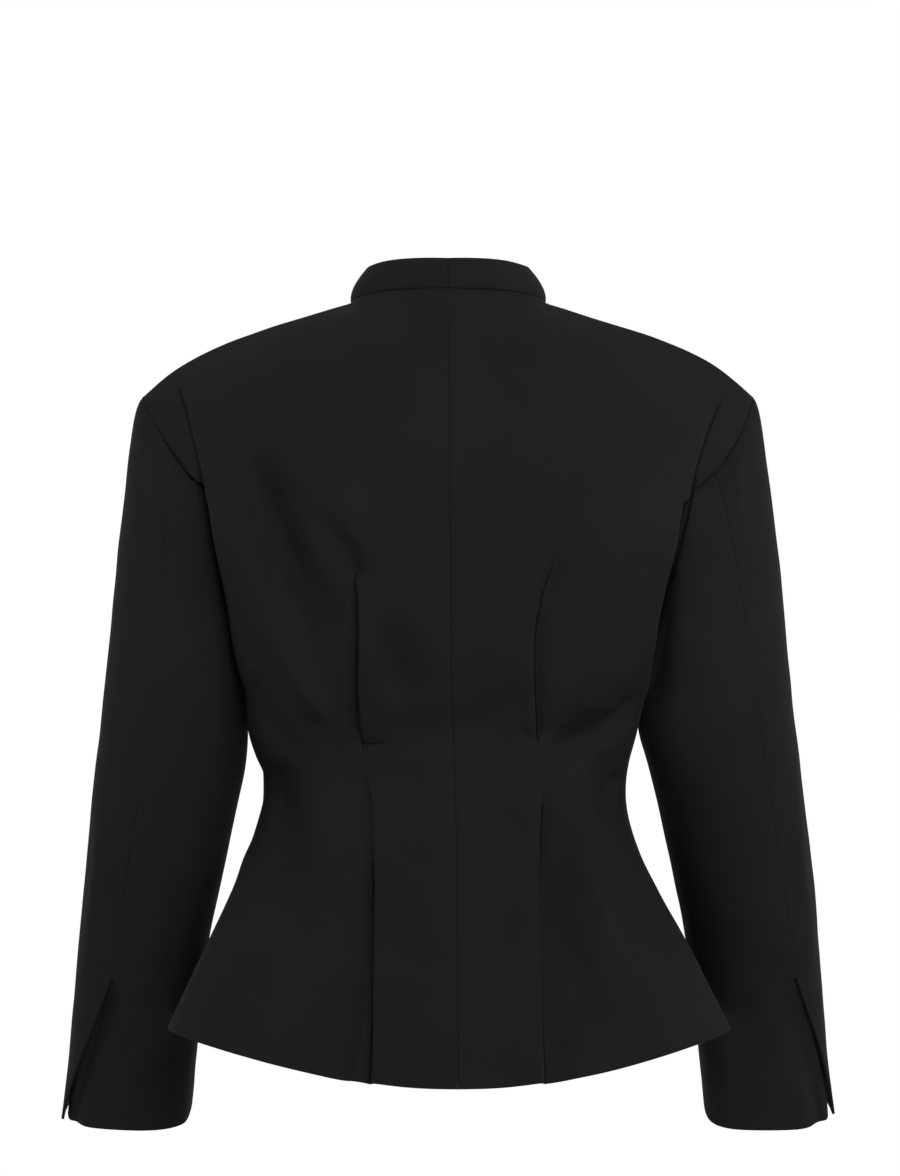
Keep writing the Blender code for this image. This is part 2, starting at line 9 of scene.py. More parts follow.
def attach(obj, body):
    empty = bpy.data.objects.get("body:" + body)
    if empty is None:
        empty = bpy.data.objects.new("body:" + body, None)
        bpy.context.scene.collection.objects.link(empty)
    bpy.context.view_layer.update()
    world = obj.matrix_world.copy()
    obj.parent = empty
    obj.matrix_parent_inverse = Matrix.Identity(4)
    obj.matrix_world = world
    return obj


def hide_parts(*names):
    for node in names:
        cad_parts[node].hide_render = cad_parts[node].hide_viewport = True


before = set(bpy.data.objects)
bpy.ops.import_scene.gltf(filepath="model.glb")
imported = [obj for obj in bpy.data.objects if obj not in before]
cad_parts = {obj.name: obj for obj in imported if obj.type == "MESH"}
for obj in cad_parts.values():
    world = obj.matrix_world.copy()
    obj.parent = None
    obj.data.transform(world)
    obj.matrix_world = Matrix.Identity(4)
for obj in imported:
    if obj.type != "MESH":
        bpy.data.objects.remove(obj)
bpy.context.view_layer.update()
print("stage: frame loaded,", len(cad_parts), "panels")


# camera first, so that every later look is from the photo's angle
cameraValues = {
    "distance": 3.0, "height": -0.21375, "aside": 0.0015, "frameHeight": 0.882,
    "sensor": 36.0, "clipEnd": 50.0,
}


def placeCamera(v):
    data = bpy.data.cameras.new("studioCamera")
    data.sensor_width = v["sensor"]  # on the long side of the frame
    data.lens = v["sensor"] * v["distance"] / v["frameHeight"]
    data.clip_end = v["clipEnd"]
    camera = bpy.data.objects.new("studioCamera", data)
    camera.location = (v["aside"], -v["distance"], v["height"])
    camera.rotation_euler = (math.pi / 2, 0.0, 0.0)
    bpy.context.scene.collection.objects.link(camera)
    bpy.context.scene.camera = camera


placeCamera(cameraValues)
print("stage: camera")


# the suiting: fine matte black twill with a little bloom at the edges
suitingValues = {
    "dark": (0.0100, 0.0100, 0.0100, 1.0), "light": (0.0135, 0.0135, 0.0133, 1.0),
    "roughness": (0.80, 0.92), "specular": 0.06, "sheen": 0.022, "sheenRough": 0.35,
    "twillPitch": 0.00075, "crossRib": 0.4, "bumpDepth": 0.00005, "bumpStrength": 0.35,
    "fibre": 1400.0, "fibreDetail": 2.0, "fibreShade": 0.55, "fibreHeight": 1.5,
    "cloud": 14.0, "cloudDetail": 3.0, "tintFrom": (0.45, 1.10),
    "lines": {  # painted shade lines along seams and creases: the attribute that measures them, half width and what is left of the colour
        "seamShadeDistance": (0.0010, 0.62), "creaseShadeDistance": (0.0016, 0.25),
    },
}


def link(tree, a, out, b, into):
    tree.links.new(a.outputs[out], b.inputs[into])


def makeSuiting(v):
    mat = bpy.data.materials.new("blackSuiting")
    mat.use_nodes = True
    tree = mat.node_tree
    nodes = tree.nodes
    shader = nodes["Principled BSDF"]
    shader.inputs["Specular IOR Level"].default_value = v["specular"]
    shader.inputs["Sheen Weight"].default_value = v["sheen"]
    shader.inputs["Sheen Roughness"].default_value = v["sheenRough"]
    coords = nodes.new("ShaderNodeTexCoord")
    # two diagonal ribs that cross the surface whichever way it faces
    ribs = []
    for turn in ((1.0, 1.0, 1.0), (1.0, 1.0, -1.0)):
        lean = nodes.new("ShaderNodeVectorMath")
        lean.operation = "DOT_PRODUCT"
        lean.inputs[1].default_value = [t * math.tau / v["twillPitch"] / math.sqrt(2.0) for t in turn]
        link(tree, coords, "Object", lean, 0)
        wave = nodes.new("ShaderNodeMath")
        wave.operation = "SINE"
        link(tree, lean, "Value", wave, 0)
        ribs.append(wave)
    twill = nodes.new("ShaderNodeMath")
    twill.operation = "MULTIPLY_ADD"
    link(tree, ribs[1], 0, twill, 0)
    twill.inputs[1].default_value = v["crossRib"]
    link(tree, ribs[0], 0, twill, 2)
    fibre = nodes.new("ShaderNodeTexNoise")
    fibre.inputs["Scale"].default_value = v["fibre"]
    fibre.inputs["Detail"].default_value = v["fibreDetail"]
    link(tree, coords, "Object", fibre, "Vector")
    cloud = nodes.new("ShaderNodeTexNoise")
    cloud.inputs["Scale"].default_value = v["cloud"]
    cloud.inputs["Detail"].default_value = v["cloudDetail"]
    link(tree, coords, "Object", cloud, "Vector")
    shade = nodes.new("ShaderNodeMath")
    shade.operation = "MULTIPLY_ADD"
    link(tree, fibre, "Fac", shade, 0)
    shade.inputs[1].default_value = v["fibreShade"]
    link(tree, cloud, "Fac", shade, 2)
    tint = nodes.new("ShaderNodeMapRange")
    tint.inputs["From Min"].default_value, tint.inputs["From Max"].default_value = v["tintFrom"]
    link(tree, shade, 0, tint, "Value")
    colour = nodes.new("ShaderNodeMix")
    colour.data_type = "RGBA"
    colour.inputs["A"].default_value = v["dark"]
    colour.inputs["B"].default_value = v["light"]
    link(tree, tint, "Result", colour, "Factor")
    shaded = colour.outputs["Result"]
    # painted shade: the base colour darkens along seams and creases
    for name, (reach, left) in v["lines"].items():
        away = nodes.new("ShaderNodeAttribute")
        away.attribute_name = name
        size = nodes.new("ShaderNodeMath")
        size.operation = "ABSOLUTE"
        link(tree, away, "Fac", size, 0)
        line = nodes.new("ShaderNodeMapRange")
        line.interpolation_type = "SMOOTHSTEP"
        line.inputs["From Max"].default_value = reach
        line.inputs["To Min"].default_value = left
        link(tree, size, 0, line, "Value")
        darker = nodes.new("ShaderNodeVectorMath")
        darker.operation = "SCALE"
        tree.links.new(shaded, darker.inputs[0])
        link(tree, line, "Result", darker, "Scale")
        shaded = darker.outputs["Vector"]
    tree.links.new(shaded, shader.inputs["Base Color"])
    rough = nodes.new("ShaderNodeMapRange")
    rough.inputs["To Min"].default_value, rough.inputs["To Max"].default_value = v["roughness"]
    link(tree, cloud, "Fac", rough, "Value")
    link(tree, rough, "Result", shader, "Roughness")
    height = nodes.new("ShaderNodeMath")
    height.operation = "MULTIPLY_ADD"
    link(tree, fibre, "Fac", height, 0)
    height.inputs[1].default_value = v["fibreHeight"]
    link(tree, twill, 0, height, 2)
    bump = nodes.new("ShaderNodeBump")
    bump.inputs["Strength"].default_value = v["bumpStrength"]
    bump.inputs["Distance"].default_value = v["bumpDepth"]
    link(tree, height, 0, bump, "Height")
    link(tree, bump, "Normal", shader, "Normal")
    return mat


suiting = makeSuiting(suitingValues)
print("stage: suiting")


# every panel starts from its own wall: seams drawn shut, edges rounded, cut fine enough to take creases
clothValues = {
    "weld": 0.00001, "quadAngle": 50.0, "shapeAngle": 80.0, "edgeAngle": 48.0, "sharpAngle": 50.0,
    "edgeCrease": 0.62, "levels": 3, "passes": 2, "outSpread": 0.018, "batch": 4000,
    "seamDraw": 0.00022, "sewnReach": 0.0014, "centreBand": 0.022,
    "hold": 0.008, "freeReach": 0.020,  # how far from the seams folds die out, and from the armhole the eases
    "seamDip": 0.0006, "seamWidth": 0.0016,  # every seam
    "underarmDip": {"left": 0.0030, "right": 0.0080}, "underarmWidth": 0.0040,
    "underarmAcross": (0.140, 0.192), "underarmFrom": (-0.140, -0.170), "underarmTo": (-0.240, -0.210),
    "underarmShade": 0.55,  # how much wider the seam's painted shade is there
    "quietBelow": -0.120, "quietBeyond": 0.192, "quietShade": 0.00055,  # pressed seams with fainter painted shade
}


def edgeFaces(bm, angle):
    # the narrow faces along a panel's edge have an outward corner on both long sides
    found = []
    for face in bm.faces:
        turned = [e for e in face.edges if len(e.link_faces) == 2 and e.calc_face_angle_signed() > angle]
        if len(turned) > 1:
            found.append(face)
    return found


def drawSeamsShut(faces, reach):
    shift = {}
    for face in faces:
        face.material_index = 1
        for vert in face.verts:
            shift[vert] = shift.get(vert, Vector()) + face.normal
    for vert, way in shift.items():
        vert.co += way.normalized() * reach


def drawOntoWall(piece, want, passes):
    # the rounded surface is drawn back onto the points of the wall it came from
    mesh = piece.data
    for _ in range(passes):
        mesh.update()
        got = piece.evaluated_get(bpy.context.evaluated_depsgraph_get()).to_mesh()
        miss = want - np.array([got.vertices[i].co for i in range(len(want))])
        for vert, gap in zip(mesh.vertices, miss):
            vert.co += Vector(gap)
    mesh.update()


def pointsOf(mesh):
    co = np.zeros(len(mesh.vertices) * 3, np.float32)
    mesh.vertices.foreach_get("co", co)
    return co.reshape(-1, 3).astype(float)


def outwardOf(co, places, normals, spread, batch):
    # one smooth outward direction for both faces of the cloth
    out = np.zeros_like(co)
    for start in range(0, len(co), batch):
        part = co[start:start + batch]
        gap = ((part[:, None, :] - places[None]) ** 2).sum(axis=2)
        share = np.exp(-(gap - gap.min(axis=1, keepdims=True)) / spread ** 2)
        out[start:start + batch] = share @ normals
    return out / np.maximum(np.linalg.norm(out, axis=1, keepdims=True), 1e-9)


def nearestOf(co, targets):
    # how far the nearest target lies from each point, and which one it is
    tree = kdtree.KDTree(len(targets))
    for i, point in enumerate(targets):
        tree.insert(point, i)
    tree.balance()
    found = [tree.find(point) for point in co]
    return np.array([hit[2] for hit in found]), np.array([hit[1] for hit in found])


def finePanel(node, heart, v=clothValues):
    bm = bmesh.new()
    bm.from_mesh(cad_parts[node].data)
    bmesh.ops.remove_doubles(bm, verts=bm.verts[:], dist=v["weld"])
    bmesh.ops.join_triangles(
        bm, faces=bm.faces[:], angle_face_threshold=math.radians(v["quadAngle"]),
        angle_shape_threshold=math.radians(v["shapeAngle"]), topology_influence=1.0,
    )
    bm.normal_update()
    edgeAngle = math.radians(v["edgeAngle"])
    drawSeamsShut(edgeFaces(bm, edgeAngle), v["seamDraw"])
    places = np.array([f.calc_center_median() for f in bm.faces])
    normals = np.array([f.normal for f in bm.faces])
    outer = np.array([f.material_index == 0 for f in bm.faces])
    outer &= ((places - heart(places)) * normals).sum(axis=1) > 0.0
    crease = bm.edges.layers.float.new("crease_edge")
    corner = bm.verts.layers.float.new("crease_vert")
    for edge in bm.edges:
        if len(edge.link_faces) == 2 and edge.calc_face_angle() > edgeAngle:
            edge[crease] = 1.0
    for vert in bm.verts:  # a corner is where three creased edges meet
        vert[corner] = float(sum(edge[crease] for edge in vert.link_edges) >= 3.0)
    want = np.array([vert.co for vert in bm.verts])
    mesh = bpy.data.meshes.new("cloth_" + node)
    bm.to_mesh(mesh)
    bm.free()
    piece = bpy.data.objects.new("cloth_" + node, mesh)
    bpy.context.scene.collection.objects.link(piece)
    finer = piece.modifiers.new("finer", "SUBSURF")
    finer.levels = finer.render_levels = 1
    drawOntoWall(piece, want, v["passes"])
    for value in mesh.attributes["crease_edge"].data:
        value.value = min(value.value, v["edgeCrease"])
    mesh.update()
    finer.levels = finer.render_levels = v["levels"]
    rounded = piece.evaluated_get(bpy.context.evaluated_depsgraph_get())
    piece.data = bpy.data.meshes.new_from_object(rounded)
    piece.modifiers.clear()
    co = pointsOf(piece.data)
    edgePoints = sorted({i for f in piece.data.polygons if f.material_index == 1 for i in f.vertices})
    return {
        "piece": piece, "points": co, "edge": co[edgePoints],
        "out": outwardOf(co, places[outer], normals[outer], v["outSpread"], v["batch"]),
    }


def sewnEdges(panels, reach):
    # the points of each panel's edge that lie on another panel's edge, and those where sleeve meets body
    for name, panel in panels.items():
        others = [other["edge"] for key, other in panels.items() if key != name]
        panel["sewn"] = panel["edge"][nearestOf(panel["edge"], np.concatenate(others))[0] < reach]
        inSleeve = name.startswith("sleeve")
        across = [other["edge"] for key, other in panels.items() if key.startswith("sleeve") != inSleeve]
        panel["armhole"] = panel["edge"][nearestOf(panel["edge"], np.concatenate(across))[0] < reach]


def smoothStep(values, start, end):
    t = np.clip((values - start) / (end - start), 0.0, 1.0)
    return t * t * (3.0 - 2.0 * t)


def layFolds(node, panel, folds, creaseShade, v=clothValues):
    # folds die out at the seams other than the centre one, and every seam turns in a little
    mesh, co, sewn = panel["piece"].data, panel["points"], panel["sewn"]
    sides = sewn[np.abs(sewn[:, 0]) > v["centreBand"]]
    held = 1.0 - np.exp(-((nearestOf(co, sides)[0] / v["hold"]) ** 2))
    free = np.ones(len(co))  # none at the armhole, where sleeve and body stay together
    if len(panel["armhole"]):
        free -= np.exp(-((nearestOf(co, panel["armhole"])[0] / v["freeReach"]) ** 2))
    seam, index = nearestOf(co, sewn)
    at = sewn[index]
    aside, height = np.abs(at[:, 0]), at[:, 2]
    # the seams under the arms lie in a deeper valley
    inner, outer = v["underarmAcross"]
    under = smoothStep(height, *v["underarmFrom"]) * smoothStep(height, *v["underarmTo"])
    under *= (aside > inner) & (aside < outer)
    deep = np.where(at[:, 0] > 0.0, v["underarmDip"]["right"], v["underarmDip"]["left"])
    dip = v["seamDip"] * np.exp(-((seam / v["seamWidth"]) ** 2))
    dip += under * deep * np.exp(-((seam / v["underarmWidth"]) ** 2))
    co = co + panel["out"] * (folds * held + unevenness(co) - dip)[:, None] + easeOf(co, node, free)
    mesh.vertices.foreach_set("co", co.astype(np.float32).ravel())
    # the seam and crease distances below set painted shade in the suiting: wider under the arms, fainter on
    # the centre and elbow seams
    quiet = (aside < v["centreBand"]) | ((aside > v["quietBeyond"]) & (height < v["quietBelow"]))
    seam = seam * (1.0 - v["underarmShade"] * under) + v["quietShade"] * quiet
    for name, values in (("seamShadeDistance", seam), ("creaseShadeDistance", creaseShade)):
        mesh.attributes.new(name, "FLOAT", "POINT").data.foreach_set("value", values.astype(np.float32))
    mesh.update()


def alongPath(flat, path):
    # distance from the path, signed to its left, and the share of its length at the nearest place
    path = np.array(path, float)
    legs = np.linalg.norm(np.diff(path, axis=0), axis=1)
    run = np.concatenate([[0.0], np.cumsum(legs)])
    best = np.full(len(flat), 1e9)
    side = np.zeros(len(flat))
    place = np.zeros(len(flat))
    for a, b, start, leg in zip(path, path[1:], run, legs):
        way = (b - a) / leg
        off = flat - a
        t = np.clip(off @ way, 0.0, leg)
        dist = np.linalg.norm(off - t[:, None] * way, axis=1)
        near = dist < best
        best[near] = dist[near]
        side[near] = (way[0] * off[:, 1] - way[1] * off[:, 0])[near]
        place[near] = (start + t)[near] / run[-1]
    return np.where(side > 0, best, -best), place


foldValues = {"endShare": 0.12}  # what is left of a fold at its very ends


def foldHeights(flat, folds, v=foldValues):
    # how far each point (across, up) is raised by soft troughs and ridges along short paths
    total = np.zeros(len(flat))
    for fold in folds:
        away, place = alongPath(flat, fold["path"])
        left, right = fold["width"]
        fadeIn, fadeOut = fold["fade"]
        ends = smoothStep(np.minimum(place / fadeIn, (1.0 - place) / fadeOut), 0.0, 1.0)
        ends = v["endShare"] + (1.0 - v["endShare"]) * ends
        total += fold["lift"] * ends * np.exp(-((away / np.where(away > 0, left, right)) ** 2))
    return total


def creaseShadeDistance(flat, creaseShade):
    # signed distance from the nearest pressed crease line, which the suiting darkens as painted shade, less
    # for a bolder one, far off where a panel has none
    nearest = np.ones(len(flat))
    for bold, path in creaseShade:
        away = alongPath(flat, path)[0] / bold
        closer = np.abs(away) < np.abs(nearest)
        nearest[closer] = away[closer]
    return nearest


# small moves of the cloth: the pieces that take part ("" is all of them, the rest keep still at the armhole),
# where, how far round it, and the move, in metres
easeValues = {
    "left waist": ("", (-0.136, 0.0, -0.335), (0.024, 0.3, 0.030), (-0.0016, 0.0, 0.0)),
    "right waist": ("", (0.131, 0.0, -0.350), (0.024, 0.3, 0.030), (0.0020, 0.0, 0.0)),
    "left side": ("", (-0.146, 0.0, -0.316), (0.014, 0.3, 0.018), (-0.0014, 0.0, 0.0)),
    "right side": ("", (0.146, 0.0, -0.292), (0.014, 0.3, 0.016), (0.0026, 0.0, 0.0)),
    "left upper sleeve": ("", (-0.245, 0.0, -0.150), (0.050, 0.3, 0.085), (0.0020, 0.0, 0.0)),
    "right upper sleeve": ("", (0.238, 0.0, -0.110), (0.050, 0.3, 0.060), (-0.0019, 0.0, 0.0)),
    "left inner sleeve": ("sleeve", (-0.165, 0.02, -0.330), (0.020, 0.3, 0.030), (0.0024, 0.0, 0.0)),
    "right inner sleeve": ("sleeve", (0.165, 0.02, -0.330), (0.020, 0.3, 0.030), (-0.0030, 0.0, 0.0)),
    "right sleeve at the side": ("sleeve", (0.150, 0.0, -0.313), (0.020, 0.3, 0.024), (-0.0050, 0.0, 0.0)),
    "left sleeve by the body": ("sleeve", (-0.170, -0.03, -0.265), (0.022, 0.06, 0.070), (0.0, -0.012, 0.0)),
    "right sleeve by the body": ("sleeve", (0.170, -0.03, -0.265), (0.022, 0.06, 0.070), (0.0, -0.012, 0.0)),
    "right tuck": ("", (0.066, -0.10, -0.255), (0.022, 0.06, 0.050), (-0.0028, 0.0, 0.0)),
    "right outer sleeve": ("", (0.278, 0.03, -0.430), (0.030, 0.3, 0.110), (0.0014, 0.0, 0.0)),
}


def easeOf(co, node, free):
    moves = np.zeros_like(co)
    for pieces, place, reach, move in easeValues.values():
        if node.startswith(pieces):
            share = np.exp(-(((co - place) / reach) ** 2).sum(axis=1))
            moves += (share * free if pieces else share)[:, None] * np.array(move)
    return moves


unevenValues = [{"size": 0.075, "lift": 0.0012}, {"size": 0.026, "lift": 0.0004}]


def unevenness(co):
    # the small rises and hollows of cloth that hangs free, the same across every seam
    total = np.zeros(len(co))
    for v in unevenValues:
        total += [v["lift"] * noise.noise(Vector(point) / v["size"]) for point in co]
    return total


# folds of the back as seen from behind: paths are (x, z) in metres, lift below zero is a trough,
# width is (left of the path, right of the path) as it runs
backFolds = {
    "left": [
        {"name": "blade drape", "width": (0.024, 0.010), "lift": -0.0125, "fade": (0.25, 0.30), "path": [
            (-0.150, -0.107), (-0.141, -0.150), (-0.132, -0.183), (-0.120, -0.215), (-0.102, -0.248),
            (-0.086, -0.278)]},
        {"name": "inner drape", "width": (0.013, 0.010), "lift": -0.0046, "fade": (0.60, 0.45), "path": [
            (-0.150, -0.095), (-0.139, -0.118), (-0.1275, -0.151), (-0.118, -0.183), (-0.105, -0.205),
            (-0.091, -0.228), (-0.074, -0.258)]},
        {"name": "blade ridge", "width": (0.007, 0.009), "lift": 0.0092, "fade": (0.30, 0.15), "path": [
            (-0.159, -0.078), (-0.157, -0.128), (-0.148, -0.183), (-0.135, -0.222), (-0.118, -0.262),
            (-0.096, -0.298), (-0.079, -0.320)]},
        {"name": "blade brink", "width": (0.014, 0.007), "lift": 0.0030, "fade": (0.40, 0.30), "path": [
            (-0.113, -0.100), (-0.109, -0.128), (-0.092, -0.148), (-0.071, -0.163), (-0.053, -0.192),
            (-0.034, -0.222)]},
        {"name": "drape into tuck", "width": (0.0065, 0.012), "lift": -0.0070, "fade": (0.50, 0.12), "path": [
            (-0.104, -0.163), (-0.086, -0.170), (-0.073, -0.186), (-0.064, -0.209)]},
        {"name": "hollow to waist", "width": (0.021, 0.010), "lift": -0.0105, "fade": (0.50, 0.45), "path": [
            (-0.0530, -0.222), (-0.0465, -0.250), (-0.0390, -0.278), (-0.0300, -0.306)]},
        {"name": "side hollow", "width": (0.009, 0.010), "lift": -0.0045, "fade": (0.20, 0.40), "path": [
            (-0.148, -0.273), (-0.134, -0.306), (-0.118, -0.328), (-0.098, -0.342)]},
        {"name": "armhole fold", "width": (0.0035, 0.008), "lift": -0.0036, "fade": (0.25, 0.10), "path": [
            (-0.2000, -0.066), (-0.1955, -0.083), (-0.1887, -0.1123), (-0.1835, -0.1388), (-0.1815, -0.147)]},
        {"name": "skirt hollow", "width": (0.020, 0.009), "lift": -0.0100, "fade": (0.20, 0.40), "path": [
            (-0.132, -0.335), (-0.126, -0.376), (-0.116, -0.411), (-0.107, -0.443)]},
        {"name": "skirt ridge", "width": (0.012, 0.011), "lift": 0.0035, "fade": (0.40, 0.40), "path": [
            (-0.146, -0.398), (-0.141, -0.430), (-0.138, -0.475)]},
        {"name": "tuck crevice", "width": (0.0018, 0.0034), "lift": -0.0036, "fade": (0.15, 0.05), "path": [
            (-0.0672, -0.204), (-0.0675, -0.230), (-0.0680, -0.290), (-0.0655, -0.318), (-0.0620, -0.333)]},
        {"name": "pleat crevice", "width": (0.0018, 0.0036), "lift": -0.0036, "fade": (0.30, 0.001), "path": [
            (-0.0560, -0.375), (-0.0560, -0.440), (-0.0560, -0.580)]},
        {"name": "pleat hollow", "width": (0.005, 0.016), "lift": -0.0070, "fade": (0.45, 0.001), "path": [
            (-0.057, -0.410), (-0.061, -0.480), (-0.070, -0.545), (-0.080, -0.580)]},
        {"name": "waist hook", "width": (0.0018, 0.0026), "lift": -0.0026, "fade": (0.02, 0.30), "path": [
            (-0.0625, -0.3275), (-0.0480, -0.3262)]},
    ],
    "right": [
        {"name": "drape into tuck", "width": (0.010, 0.0030), "lift": -0.0055, "fade": (0.50, 0.35), "path": [
            (0.086, -0.176), (0.0785, -0.192), (0.0722, -0.212), (0.0688, -0.232)]},
        {"name": "tuck crevice", "width": (0.0036, 0.0018), "lift": -0.0036, "fade": (0.15, 0.05), "path": [
            (0.0700, -0.222), (0.0672, -0.245), (0.0666, -0.290), (0.0668, -0.326)]},
        {"name": "waist fold", "width": (0.011, 0.008), "lift": -0.0092, "fade": (0.14, 0.55), "path": [
            (0.074, -0.335), (0.091, -0.3265), (0.111, -0.319), (0.1270, -0.311), (0.139, -0.292),
            (0.147, -0.268)]},
        {"name": "waist ridge", "width": (0.014, 0.008), "lift": 0.0050, "fade": (0.30, 0.40), "path": [
            (0.088, -0.308), (0.110, -0.295), (0.123, -0.274), (0.129, -0.250)]},
        {"name": "hollow by tuck", "width": (0.012, 0.014), "lift": -0.0036, "fade": (0.50, 0.30), "path": [
            (0.006, -0.318), (0.034, -0.302), (0.062, -0.290)]},
        {"name": "tuck foot", "width": (0.005, 0.005), "lift": -0.0020, "fade": (0.50, 0.20), "path": [
            (0.044, -0.312), (0.066, -0.328)]},
        {"name": "armhole fold", "width": (0.008, 0.0035), "lift": -0.0036, "fade": (0.25, 0.10), "path": [
            (0.2010, -0.0800), (0.1980, -0.0880), (0.1900, -0.1110), (0.1835, -0.1345), (0.1795, -0.150)]},
        {"name": "side hollow", "width": (0.008, 0.010), "lift": -0.0056, "fade": (0.30, 0.30), "path": [
            (0.116, -0.327), (0.117, -0.356), (0.112, -0.387)]},
        {"name": "side crease", "width": (0.0034, 0.0034), "lift": -0.0038, "fade": (0.10, 0.40), "path": [
            (0.126, -0.350), (0.1187, -0.366), (0.1130, -0.380), (0.1115, -0.395)]},
        {"name": "skirt ridge", "width": (0.007, 0.009), "lift": 0.0048, "fade": (0.30, 0.30), "path": [
            (0.092, -0.367), (0.101, -0.406), (0.113, -0.450), (0.119, -0.482)]},
        {"name": "skirt line", "width": (0.010, 0.0028), "lift": -0.0044, "fade": (0.30, 0.30), "path": [
            (0.104, -0.400), (0.111, -0.426), (0.117, -0.445), (0.1205, -0.467)]},
        {"name": "skirt drape", "width": (0.010, 0.013), "lift": -0.0048, "fade": (0.30, 0.20), "path": [
            (0.076, -0.400), (0.081, -0.448), (0.097, -0.495), (0.111, -0.535)]},
        {"name": "pleat crevice", "width": (0.0036, 0.0018), "lift": -0.0036, "fade": (0.15, 0.001), "path": [
            (0.0698, -0.355), (0.0700, -0.440), (0.0700, -0.580)]},
        {"name": "pleat hollow", "width": (0.013, 0.004), "lift": -0.0054, "fade": (0.40, 0.001), "path": [
            (0.0720, -0.380), (0.0745, -0.480), (0.0770, -0.580)]},
    ],
    "both": [
        {"name": "waist hollow", "width": (0.012, 0.009), "lift": -0.0020, "fade": (0.30, 0.30), "path": [
            (-0.050, -0.320), (0.000, -0.316), (0.050, -0.318)]},
        {"name": "waist ridge", "width": (0.007, 0.012), "lift": 0.0022, "fade": (0.20, 0.20), "path": [
            (-0.056, -0.340), (0.000, -0.337), (0.062, -0.336)]},
    ],
}
backCreaseShade = {  # painted shade along the creases that the iron or the body's weight has set, and along the body's edge under the right arm: how bold, and the path
    "left": [
        (0.75, [(-0.0672, -0.202), (-0.0675, -0.230), (-0.0680, -0.290), (-0.0655, -0.318),
                (-0.0620, -0.331)]),
        (0.75, [(-0.0620, -0.3280), (-0.0480, -0.3265)]),
        (0.85, [(-0.0560, -0.410), (-0.0560, -0.590)]),
        (1.25, [(-0.2000, -0.066), (-0.1955, -0.083), (-0.1887, -0.1123), (-0.1835, -0.1388),
                (-0.1815, -0.147)]),
    ],
    "right": [
        (0.75, [(0.0760, -0.200), (0.0700, -0.222), (0.0672, -0.245), (0.0666, -0.290), (0.0668, -0.326)]),
        (0.85, [(0.0700, -0.372), (0.0700, -0.590)]),
        (1.45, [(0.2010, -0.0800), (0.1980, -0.0880), (0.1900, -0.1110), (0.1835, -0.1345), (0.1785, -0.1500),
                (0.1745, -0.1640), (0.1702, -0.1790), (0.1666, -0.1935), (0.1630, -0.2085)]),
    ],
}
# the hidden front has quieter folds of the same kind
frontFolds = {
    "left": [
        {"name": "chest drape", "path": [(-0.130, -0.170), (-0.095, -0.215), (-0.068, -0.262)],
         "width": (0.012, 0.010), "lift": -0.0036, "fade": (0.3, 0.3)},
        {"name": "chest ridge", "path": [(-0.120, -0.215), (-0.090, -0.262), (-0.072, -0.300)],
         "width": (0.009, 0.009), "lift": 0.0028, "fade": (0.3, 0.3)},
        {"name": "skirt hollow", "path": [(-0.128, -0.360), (-0.112, -0.420), (-0.108, -0.470)],
         "width": (0.012, 0.010), "lift": -0.0034, "fade": (0.3, 0.4)},
        {"name": "pleat hollow", "path": [(-0.0660, -0.400), (-0.0680, -0.480), (-0.0690, -0.560)],
         "width": (0.003, 0.012), "lift": -0.0034, "fade": (0.5, 0.001)},
    ],
    "right": [
        {"name": "chest drape", "path": [(0.126, -0.180), (0.092, -0.225), (0.068, -0.270)],
         "width": (0.010, 0.012), "lift": -0.0036, "fade": (0.3, 0.3)},
        {"name": "waist fold", "path": [(0.132, -0.300), (0.105, -0.322), (0.078, -0.330)],
         "width": (0.006, 0.008), "lift": -0.0040, "fade": (0.3, 0.3)},
        {"name": "skirt ridge", "path": [(0.098, -0.370), (0.112, -0.420), (0.122, -0.480)],
         "width": (0.010, 0.012), "lift": 0.0032, "fade": (0.3, 0.4)},
        {"name": "pleat hollow", "path": [(0.0660, -0.400), (0.0680, -0.480), (0.0690, -0.560)],
         "width": (0.012, 0.003), "lift": -0.0034, "fade": (0.5, 0.001)},
    ],
    "both": [
        {"name": "waist hollow", "path": [(-0.090, -0.332), (0.000, -0.328), (0.090, -0.332)],
         "width": (0.010, 0.010), "lift": -0.0022, "fade": (0.2, 0.2)},
    ],
}
bodyValues = {"heartTop": -0.12}


# a heart is the line inside a piece that its outer face looks away from
def bodyHeart(places, v=bodyValues):
    return np.minimum(places, (np.inf, np.inf, v["heartTop"])) * (0.0, 0.0, 1.0)


def collarHeart(places):
    return places * (0.0, 0.0, 1.0)


